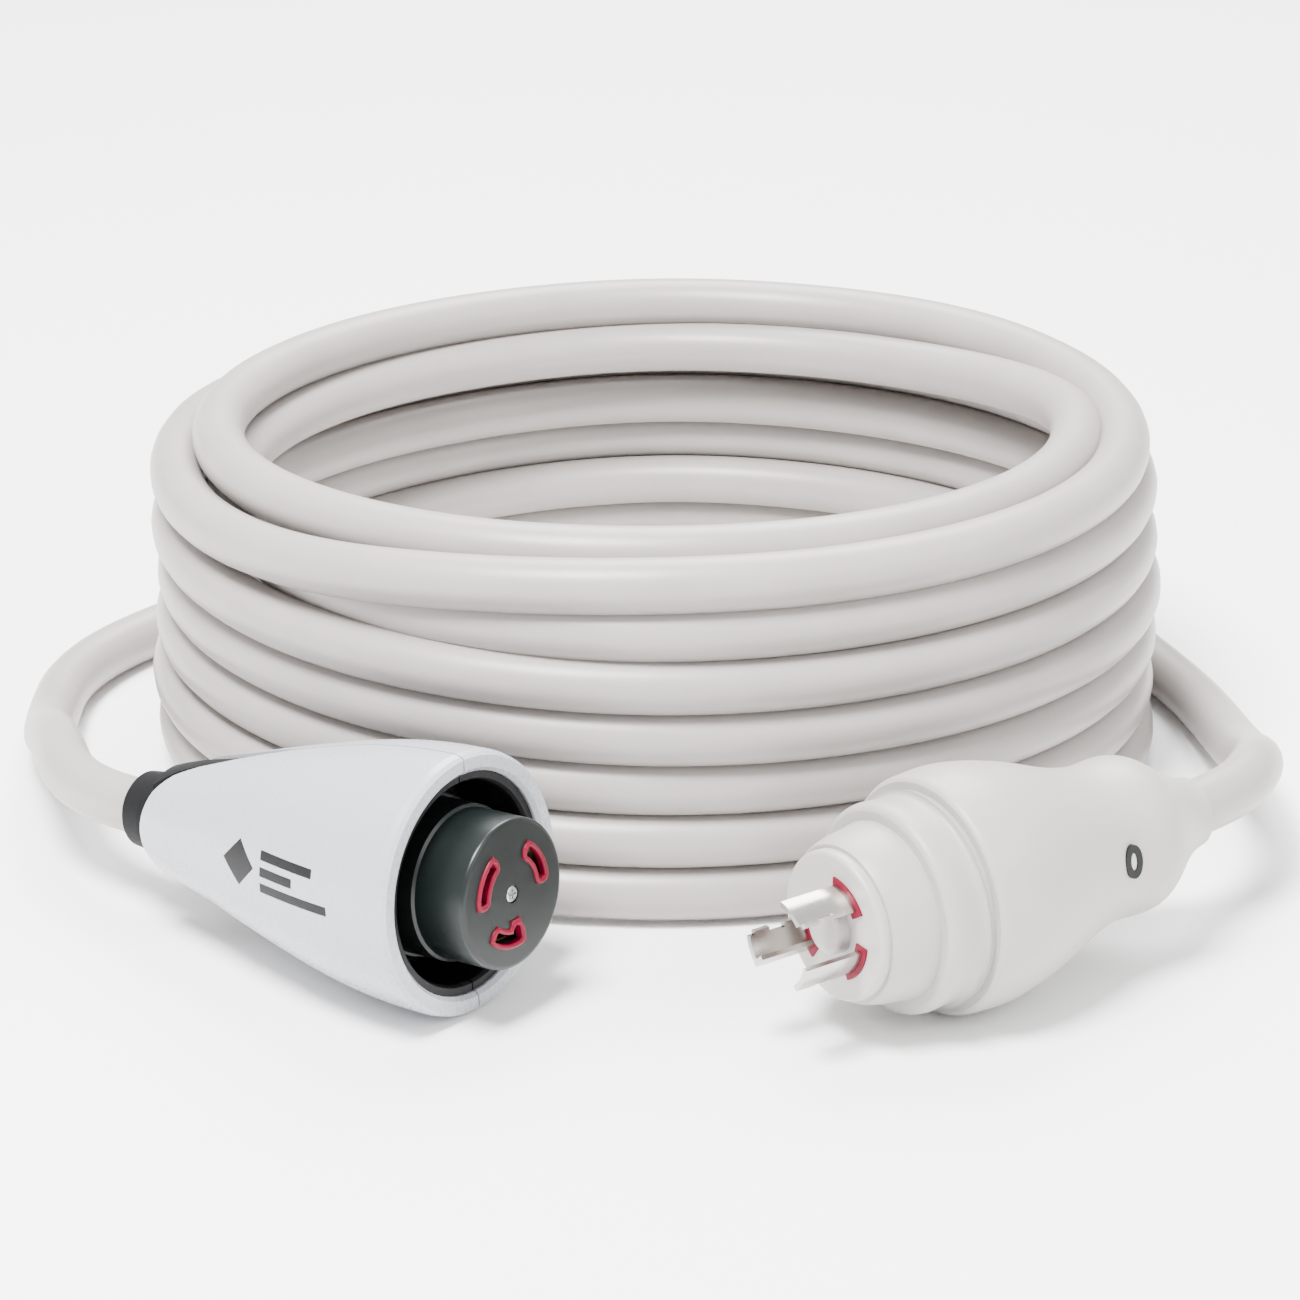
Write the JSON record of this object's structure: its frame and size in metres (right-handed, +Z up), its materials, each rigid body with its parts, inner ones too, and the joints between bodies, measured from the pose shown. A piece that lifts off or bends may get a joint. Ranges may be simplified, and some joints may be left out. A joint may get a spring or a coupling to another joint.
{
  "type": "shore power cord",
  "caption": "Coiled three-core shore power cord with a clamping female twist-lock connector at one end and a moulded male locking plug at the other.",
  "frame": {"origin": "on the floor, under the middle of the box round the connector and the plug", "axes": "+Z up, +X from the connector to the plug, +Y from the two ends towards the coil behind them"},
  "size_m": [0.3795, 0.4259, 0.1176],
  "materials": {
    "jacket_white": "satin extruded jacket",
    "jaw_white": "smooth moulded nylon",
    "plug_white": "soft satin overmould",
    "insert_white": "satin moulded nylon",
    "charcoal": "satin moulded nylon",
    "black_insert": "semi-gloss moulded nylon",
    "black_rubber": "matt moulded rubber",
    "red_seal": "satin silicone",
    "nickel": "nickel-plated brass",
    "brass": "stamped",
    "steel": "stainless",
    "wire_black": "insulation",
    "wire_white": "insulation",
    "wire_green": "insulation",
    "lens_grey": "frosted lens",
    "lamp_amber": "clear cap",
    "board_green": "circuit board"
  },
  "bodies": {
    "root": {"connector_core": "charcoal", "connector_insert": "black_insert", "contact_carrier": "black_insert", "insert_screw": "steel", "connector_gland": "charcoal", "plug_body": "plug_white", "plug_insert": "insert_white", "indicator_bezel": "black_rubber", "indicator_lens": "lens_grey", "indicator_lamp": "lamp_amber", "indicator_board": "board_green", "cord_coil": "jacket_white", "cord_lead_connector": "jacket_white", "cord_lead_plug": "jacket_white", "jaw_spring_right": "steel", "pivot_pin_right": "steel", "jaw_spring_left": "steel", "pivot_pin_left": "steel", "slot_seal_line": "red_seal", "contact_line": "brass", "connector_wire_line": "wire_black", "blade_line": "nickel", "blade_seal_line": "red_seal", "plug_wire_line": "wire_black", "slot_seal_neutral": "red_seal", "contact_neutral": "brass", "connector_wire_neutral": "wire_white", "blade_neutral": "nickel", "blade_seal_neutral": "red_seal", "plug_wire_neutral": "wire_white", "slot_seal_ground": "red_seal", "contact_ground": "brass", "connector_wire_ground": "wire_green", "blade_ground": "nickel", "blade_seal_ground": "red_seal", "plug_wire_ground": "wire_green"},
    "jaw_right": {"jaw_right": "jaw_white", "jaw_liner_right": "black_rubber"},
    "jaw_left": {"jaw_left": "jaw_white", "jaw_liner_left": "black_rubber"}
  },
  "joints": [
    {"name": "jaw_right_pivot", "type": "hinge", "parent": "root", "child": "jaw_right", "pos_m": [-0.09024, 0.02555, 0.03383], "axis": [-0.0484, 0.0369, 0.9981], "range_deg": [0, 3], "stiffness_Nm_per_rad": 1, "springref_deg": -11.46, "deforming": ["jaw_spring_right"]},
    {"name": "jaw_left_pivot", "type": "hinge", "parent": "root", "child": "jaw_left", "pos_m": [-0.10601, 0.00488, 0.03383], "axis": [0.0484, -0.0369, -0.9981], "range_deg": [0, 3], "stiffness_Nm_per_rad": 1, "springref_deg": -11.46, "deforming": ["jaw_spring_left"]}
  ],
  "couplings": [
    {"joint": "jaw_left_pivot", "follows": "jaw_right_pivot", "ratio": 1}
  ]
}
